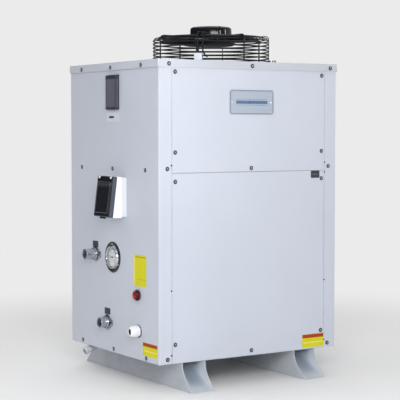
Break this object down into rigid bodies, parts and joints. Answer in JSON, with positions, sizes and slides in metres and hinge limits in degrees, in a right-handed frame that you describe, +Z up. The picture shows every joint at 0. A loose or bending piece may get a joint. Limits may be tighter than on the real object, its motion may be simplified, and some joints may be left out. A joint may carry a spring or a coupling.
{
  "type": "heat pump water heater",
  "caption": "Cabinet heat pump water heater on pressed feet with a top-discharge fan under a wire guard, water sockets, gauge and isolator on its service side",
  "frame": {"origin": "on the ground plane, at the centre of the four anchor holes in the feet, under the middle of the cabinet", "axes": "+Z up, -Y towards the wide front face, -X towards the service face with the water sockets"},
  "size_m": [0.8271, 0.764, 1.268],
  "materials": {
    "cabinet_paint": "light grey powder coat, fine satin",
    "foot_paint": "grey powder coat",
    "galvanised": "galvanised sheet",
    "coil_fins": "thin fins",
    "black_wire": "black powder coat",
    "black_gloss": "gloss black",
    "white_plastic": "white moulded plastic",
    "smoked_cover": "smoked plastic",
    "smoked_pane": "smoked window",
    "grey_plastic": "light grey moulded plastic",
    "dark_plastic": "dark moulded plastic",
    "polished_metal": "bright plated",
    "clear_glass": "clear",
    "dial_white": "printed dial",
    "needle_black": "black",
    "lamp_red": "red moulded lens",
    "plate_metal": "satin plate",
    "cable_black": "black sheath"
  },
  "bodies": {
    "root": {"back_lower_panel": "cabinet_paint", "back_upper_panel": "cabinet_paint", "base_pan": "galvanised", "cable_gland": "white_plastic", "coil_back": "coil_fins", "coil_guard_back": "black_wire", "coil_guard_right": "black_wire", "coil_right": "coil_fins", "controller": "grey_plastic", "drain_elbow": "white_plastic", "fan_guard": "black_wire", "fan_motor": "black_gloss", "fan_ring": "galvanised", "foot_left": "foot_paint", "foot_right": "foot_paint", "front_lower_panel": "cabinet_paint", "front_upper_panel": "cabinet_paint", "gauge_case": "polished_metal", "gauge_dial": "dial_white", "gauge_glass": "clear_glass", "gauge_needle": "needle_black", "gland_washer": "dark_plastic", "inlet_flange": "polished_metal", "inlet_socket": "polished_metal", "isolator_box": "white_plastic", "isolator_switch": "grey_plastic", "junction_block": "white_plastic", "lamp_bezel": "dark_plastic", "lamp_lens": "lamp_red", "left_panel": "cabinet_paint", "middle_deck": "galvanised", "motor_cable": "cable_black", "name_plate": "plate_metal", "outlet_flange": "polished_metal", "outlet_socket": "polished_metal", "post_back_left": "galvanised", "post_back_right": "galvanised", "post_front_left": "galvanised", "post_front_right": "galvanised", "right_panel": "cabinet_paint", "top_cover": "cabinet_paint", "window_cover": "smoked_pane", "window_frame": "dark_plastic"},
    "fan_rotor": {"fan_rotor": "black_gloss"},
    "isolator_cover": {"isolator_cover": "smoked_cover"}
  },
  "joints": [
    {"name": "fan_spin", "type": "hinge", "parent": "root", "child": "fan_rotor", "pos_m": [0.041, 0, 1.2], "axis": [0, 0, 1], "continuous": true},
    {"name": "isolator_cover_hinge", "type": "hinge", "parent": "root", "child": "isolator_cover", "pos_m": [-0.42405, 0, 0.72212], "axis": [0, 1, 0], "range_deg": [0, 110]}
  ]
}
